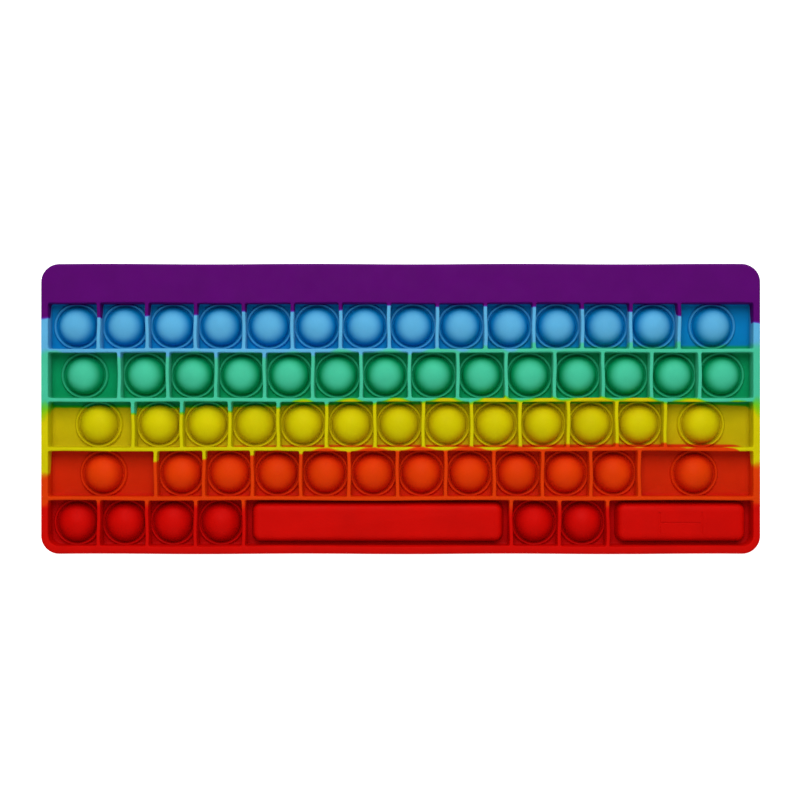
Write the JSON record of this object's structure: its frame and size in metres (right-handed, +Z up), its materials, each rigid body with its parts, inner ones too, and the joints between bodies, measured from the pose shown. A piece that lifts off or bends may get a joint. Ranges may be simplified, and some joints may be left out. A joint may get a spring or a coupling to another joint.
{
  "type": "push-bubble fidget keyboard",
  "caption": "Flat silicone fidget toy shaped like a compact keyboard, with rows of snap-through push bubbles in rainbow bands, two fixed long bars and a plain header.",
  "frame": {"origin": "middle of the footprint, on the surface that the toy lies on", "axes": "+X along the rows to the right, +Y from the front edge to the header, +Z up out of the bubbles' domed side"},
  "size_m": [0.2976, 0.12, 0.015],
  "materials": {
    "purple_silicone": "matte moulded silicone",
    "blue_silicone": "matte moulded silicone",
    "green_silicone": "matte moulded silicone",
    "yellow_silicone": "matte moulded silicone",
    "orange_silicone": "matte moulded silicone",
    "red_silicone": "matte moulded silicone"
  },
  "bodies": {
    "frame": {"frame": "purple_silicone"},
    "blue_bubble_01": {"blue_bubble_01": "blue_silicone"},
    "blue_bubble_02": {"blue_bubble_02": "blue_silicone"},
    "blue_bubble_03": {"blue_bubble_03": "blue_silicone"},
    "blue_bubble_04": {"blue_bubble_04": "blue_silicone"},
    "blue_bubble_05": {"blue_bubble_05": "blue_silicone"},
    "blue_bubble_06": {"blue_bubble_06": "blue_silicone"},
    "blue_bubble_07": {"blue_bubble_07": "blue_silicone"},
    "blue_bubble_08": {"blue_bubble_08": "blue_silicone"},
    "blue_bubble_09": {"blue_bubble_09": "blue_silicone"},
    "blue_bubble_10": {"blue_bubble_10": "blue_silicone"},
    "blue_bubble_11": {"blue_bubble_11": "blue_silicone"},
    "blue_bubble_12": {"blue_bubble_12": "blue_silicone"},
    "blue_bubble_13": {"blue_bubble_13": "blue_silicone"},
    "blue_bubble_14": {"blue_bubble_14": "blue_silicone"},
    "green_bubble_01": {"green_bubble_01": "green_silicone"},
    "green_bubble_02": {"green_bubble_02": "green_silicone"},
    "green_bubble_03": {"green_bubble_03": "green_silicone"},
    "green_bubble_04": {"green_bubble_04": "green_silicone"},
    "green_bubble_05": {"green_bubble_05": "green_silicone"},
    "green_bubble_06": {"green_bubble_06": "green_silicone"},
    "green_bubble_07": {"green_bubble_07": "green_silicone"},
    "green_bubble_08": {"green_bubble_08": "green_silicone"},
    "green_bubble_09": {"green_bubble_09": "green_silicone"},
    "green_bubble_10": {"green_bubble_10": "green_silicone"},
    "green_bubble_11": {"green_bubble_11": "green_silicone"},
    "green_bubble_12": {"green_bubble_12": "green_silicone"},
    "green_bubble_13": {"green_bubble_13": "green_silicone"},
    "green_bubble_14": {"green_bubble_14": "green_silicone"},
    "yellow_bubble_01": {"yellow_bubble_01": "yellow_silicone"},
    "yellow_bubble_02": {"yellow_bubble_02": "yellow_silicone"},
    "yellow_bubble_03": {"yellow_bubble_03": "yellow_silicone"},
    "yellow_bubble_04": {"yellow_bubble_04": "yellow_silicone"},
    "yellow_bubble_05": {"yellow_bubble_05": "yellow_silicone"},
    "yellow_bubble_06": {"yellow_bubble_06": "yellow_silicone"},
    "yellow_bubble_07": {"yellow_bubble_07": "yellow_silicone"},
    "yellow_bubble_08": {"yellow_bubble_08": "yellow_silicone"},
    "yellow_bubble_09": {"yellow_bubble_09": "yellow_silicone"},
    "yellow_bubble_10": {"yellow_bubble_10": "yellow_silicone"},
    "yellow_bubble_11": {"yellow_bubble_11": "yellow_silicone"},
    "yellow_bubble_12": {"yellow_bubble_12": "yellow_silicone"},
    "yellow_bubble_13": {"yellow_bubble_13": "yellow_silicone"},
    "orange_bubble_01": {"orange_bubble_01": "orange_silicone"},
    "orange_bubble_02": {"orange_bubble_02": "orange_silicone"},
    "orange_bubble_03": {"orange_bubble_03": "orange_silicone"},
    "orange_bubble_04": {"orange_bubble_04": "orange_silicone"},
    "orange_bubble_05": {"orange_bubble_05": "orange_silicone"},
    "orange_bubble_06": {"orange_bubble_06": "orange_silicone"},
    "orange_bubble_07": {"orange_bubble_07": "orange_silicone"},
    "orange_bubble_08": {"orange_bubble_08": "orange_silicone"},
    "orange_bubble_09": {"orange_bubble_09": "orange_silicone"},
    "orange_bubble_10": {"orange_bubble_10": "orange_silicone"},
    "orange_bubble_11": {"orange_bubble_11": "orange_silicone"},
    "orange_bubble_12": {"orange_bubble_12": "orange_silicone"},
    "red_bubble_01": {"red_bubble_01": "red_silicone"},
    "red_bubble_02": {"red_bubble_02": "red_silicone"},
    "red_bubble_03": {"red_bubble_03": "red_silicone"},
    "red_bubble_04": {"red_bubble_04": "red_silicone"},
    "red_bubble_05": {"red_bubble_05": "red_silicone"},
    "red_bubble_06": {"red_bubble_06": "red_silicone"}
  },
  "joints": [
    {"name": "blue_bubble_01_pop", "type": "slide", "parent": "frame", "child": "blue_bubble_01", "axis": [0, 0, -1], "range_m": [0, 0.014]},
    {"name": "blue_bubble_02_pop", "type": "slide", "parent": "frame", "child": "blue_bubble_02", "axis": [0, 0, -1], "range_m": [0, 0.014]},
    {"name": "blue_bubble_03_pop", "type": "slide", "parent": "frame", "child": "blue_bubble_03", "axis": [0, 0, -1], "range_m": [0, 0.014]},
    {"name": "blue_bubble_04_pop", "type": "slide", "parent": "frame", "child": "blue_bubble_04", "axis": [0, 0, -1], "range_m": [0, 0.014]},
    {"name": "blue_bubble_05_pop", "type": "slide", "parent": "frame", "child": "blue_bubble_05", "axis": [0, 0, -1], "range_m": [0, 0.014]},
    {"name": "blue_bubble_06_pop", "type": "slide", "parent": "frame", "child": "blue_bubble_06", "axis": [0, 0, -1], "range_m": [0, 0.014]},
    {"name": "blue_bubble_07_pop", "type": "slide", "parent": "frame", "child": "blue_bubble_07", "axis": [0, 0, -1], "range_m": [0, 0.014]},
    {"name": "blue_bubble_08_pop", "type": "slide", "parent": "frame", "child": "blue_bubble_08", "axis": [0, 0, -1], "range_m": [0, 0.014]},
    {"name": "blue_bubble_09_pop", "type": "slide", "parent": "frame", "child": "blue_bubble_09", "axis": [0, 0, -1], "range_m": [0, 0.014]},
    {"name": "blue_bubble_10_pop", "type": "slide", "parent": "frame", "child": "blue_bubble_10", "axis": [0, 0, -1], "range_m": [0, 0.014]},
    {"name": "blue_bubble_11_pop", "type": "slide", "parent": "frame", "child": "blue_bubble_11", "axis": [0, 0, -1], "range_m": [0, 0.014]},
    {"name": "blue_bubble_12_pop", "type": "slide", "parent": "frame", "child": "blue_bubble_12", "axis": [0, 0, -1], "range_m": [0, 0.014]},
    {"name": "blue_bubble_13_pop", "type": "slide", "parent": "frame", "child": "blue_bubble_13", "axis": [0, 0, -1], "range_m": [0, 0.014]},
    {"name": "blue_bubble_14_pop", "type": "slide", "parent": "frame", "child": "blue_bubble_14", "axis": [0, 0, -1], "range_m": [0, 0.014]},
    {"name": "green_bubble_01_pop", "type": "slide", "parent": "frame", "child": "green_bubble_01", "axis": [0, 0, -1], "range_m": [0, 0.014]},
    {"name": "green_bubble_02_pop", "type": "slide", "parent": "frame", "child": "green_bubble_02", "axis": [0, 0, -1], "range_m": [0, 0.014]},
    {"name": "green_bubble_03_pop", "type": "slide", "parent": "frame", "child": "green_bubble_03", "axis": [0, 0, -1], "range_m": [0, 0.014]},
    {"name": "green_bubble_04_pop", "type": "slide", "parent": "frame", "child": "green_bubble_04", "axis": [0, 0, -1], "range_m": [0, 0.014]},
    {"name": "green_bubble_05_pop", "type": "slide", "parent": "frame", "child": "green_bubble_05", "axis": [0, 0, -1], "range_m": [0, 0.014]},
    {"name": "green_bubble_06_pop", "type": "slide", "parent": "frame", "child": "green_bubble_06", "axis": [0, 0, -1], "range_m": [0, 0.014]},
    {"name": "green_bubble_07_pop", "type": "slide", "parent": "frame", "child": "green_bubble_07", "axis": [0, 0, -1], "range_m": [0, 0.014]},
    {"name": "green_bubble_08_pop", "type": "slide", "parent": "frame", "child": "green_bubble_08", "axis": [0, 0, -1], "range_m": [0, 0.014]},
    {"name": "green_bubble_09_pop", "type": "slide", "parent": "frame", "child": "green_bubble_09", "axis": [0, 0, -1], "range_m": [0, 0.014]},
    {"name": "green_bubble_10_pop", "type": "slide", "parent": "frame", "child": "green_bubble_10", "axis": [0, 0, -1], "range_m": [0, 0.014]},
    {"name": "green_bubble_11_pop", "type": "slide", "parent": "frame", "child": "green_bubble_11", "axis": [0, 0, -1], "range_m": [0, 0.014]},
    {"name": "green_bubble_12_pop", "type": "slide", "parent": "frame", "child": "green_bubble_12", "axis": [0, 0, -1], "range_m": [0, 0.014]},
    {"name": "green_bubble_13_pop", "type": "slide", "parent": "frame", "child": "green_bubble_13", "axis": [0, 0, -1], "range_m": [0, 0.014]},
    {"name": "green_bubble_14_pop", "type": "slide", "parent": "frame", "child": "green_bubble_14", "axis": [0, 0, -1], "range_m": [0, 0.014]},
    {"name": "yellow_bubble_01_pop", "type": "slide", "parent": "frame", "child": "yellow_bubble_01", "axis": [0, 0, -1], "range_m": [0, 0.014]},
    {"name": "yellow_bubble_02_pop", "type": "slide", "parent": "frame", "child": "yellow_bubble_02", "axis": [0, 0, -1], "range_m": [0, 0.014]},
    {"name": "yellow_bubble_03_pop", "type": "slide", "parent": "frame", "child": "yellow_bubble_03", "axis": [0, 0, -1], "range_m": [0, 0.014]},
    {"name": "yellow_bubble_04_pop", "type": "slide", "parent": "frame", "child": "yellow_bubble_04", "axis": [0, 0, -1], "range_m": [0, 0.014]},
    {"name": "yellow_bubble_05_pop", "type": "slide", "parent": "frame", "child": "yellow_bubble_05", "axis": [0, 0, -1], "range_m": [0, 0.014]},
    {"name": "yellow_bubble_06_pop", "type": "slide", "parent": "frame", "child": "yellow_bubble_06", "axis": [0, 0, -1], "range_m": [0, 0.014]},
    {"name": "yellow_bubble_07_pop", "type": "slide", "parent": "frame", "child": "yellow_bubble_07", "axis": [0, 0, -1], "range_m": [0, 0.014]},
    {"name": "yellow_bubble_08_pop", "type": "slide", "parent": "frame", "child": "yellow_bubble_08", "axis": [0, 0, -1], "range_m": [0, 0.014]},
    {"name": "yellow_bubble_09_pop", "type": "slide", "parent": "frame", "child": "yellow_bubble_09", "axis": [0, 0, -1], "range_m": [0, 0.014]},
    {"name": "yellow_bubble_10_pop", "type": "slide", "parent": "frame", "child": "yellow_bubble_10", "axis": [0, 0, -1], "range_m": [0, 0.014]},
    {"name": "yellow_bubble_11_pop", "type": "slide", "parent": "frame", "child": "yellow_bubble_11", "axis": [0, 0, -1], "range_m": [0, 0.014]},
    {"name": "yellow_bubble_12_pop", "type": "slide", "parent": "frame", "child": "yellow_bubble_12", "axis": [0, 0, -1], "range_m": [0, 0.014]},
    {"name": "yellow_bubble_13_pop", "type": "slide", "parent": "frame", "child": "yellow_bubble_13", "axis": [0, 0, -1], "range_m": [0, 0.014]},
    {"name": "orange_bubble_01_pop", "type": "slide", "parent": "frame", "child": "orange_bubble_01", "axis": [0, 0, -1], "range_m": [0, 0.014]},
    {"name": "orange_bubble_02_pop", "type": "slide", "parent": "frame", "child": "orange_bubble_02", "axis": [0, 0, -1], "range_m": [0, 0.014]},
    {"name": "orange_bubble_03_pop", "type": "slide", "parent": "frame", "child": "orange_bubble_03", "axis": [0, 0, -1], "range_m": [0, 0.014]},
    {"name": "orange_bubble_04_pop", "type": "slide", "parent": "frame", "child": "orange_bubble_04", "axis": [0, 0, -1], "range_m": [0, 0.014]},
    {"name": "orange_bubble_05_pop", "type": "slide", "parent": "frame", "child": "orange_bubble_05", "axis": [0, 0, -1], "range_m": [0, 0.014]},
    {"name": "orange_bubble_06_pop", "type": "slide", "parent": "frame", "child": "orange_bubble_06", "axis": [0, 0, -1], "range_m": [0, 0.014]},
    {"name": "orange_bubble_07_pop", "type": "slide", "parent": "frame", "child": "orange_bubble_07", "axis": [0, 0, -1], "range_m": [0, 0.014]},
    {"name": "orange_bubble_08_pop", "type": "slide", "parent": "frame", "child": "orange_bubble_08", "axis": [0, 0, -1], "range_m": [0, 0.014]},
    {"name": "orange_bubble_09_pop", "type": "slide", "parent": "frame", "child": "orange_bubble_09", "axis": [0, 0, -1], "range_m": [0, 0.014]},
    {"name": "orange_bubble_10_pop", "type": "slide", "parent": "frame", "child": "orange_bubble_10", "axis": [0, 0, -1], "range_m": [0, 0.014]},
    {"name": "orange_bubble_11_pop", "type": "slide", "parent": "frame", "child": "orange_bubble_11", "axis": [0, 0, -1], "range_m": [0, 0.014]},
    {"name": "orange_bubble_12_pop", "type": "slide", "parent": "frame", "child": "orange_bubble_12", "axis": [0, 0, -1], "range_m": [0, 0.014]},
    {"name": "red_bubble_01_pop", "type": "slide", "parent": "frame", "child": "red_bubble_01", "axis": [0, 0, -1], "range_m": [0, 0.014]},
    {"name": "red_bubble_02_pop", "type": "slide", "parent": "frame", "child": "red_bubble_02", "axis": [0, 0, -1], "range_m": [0, 0.014]},
    {"name": "red_bubble_03_pop", "type": "slide", "parent": "frame", "child": "red_bubble_03", "axis": [0, 0, -1], "range_m": [0, 0.014]},
    {"name": "red_bubble_04_pop", "type": "slide", "parent": "frame", "child": "red_bubble_04", "axis": [0, 0, -1], "range_m": [0, 0.014]},
    {"name": "red_bubble_05_pop", "type": "slide", "parent": "frame", "child": "red_bubble_05", "axis": [0, 0, -1], "range_m": [0, 0.014]},
    {"name": "red_bubble_06_pop", "type": "slide", "parent": "frame", "child": "red_bubble_06", "axis": [0, 0, -1], "range_m": [0, 0.014]}
  ]
}
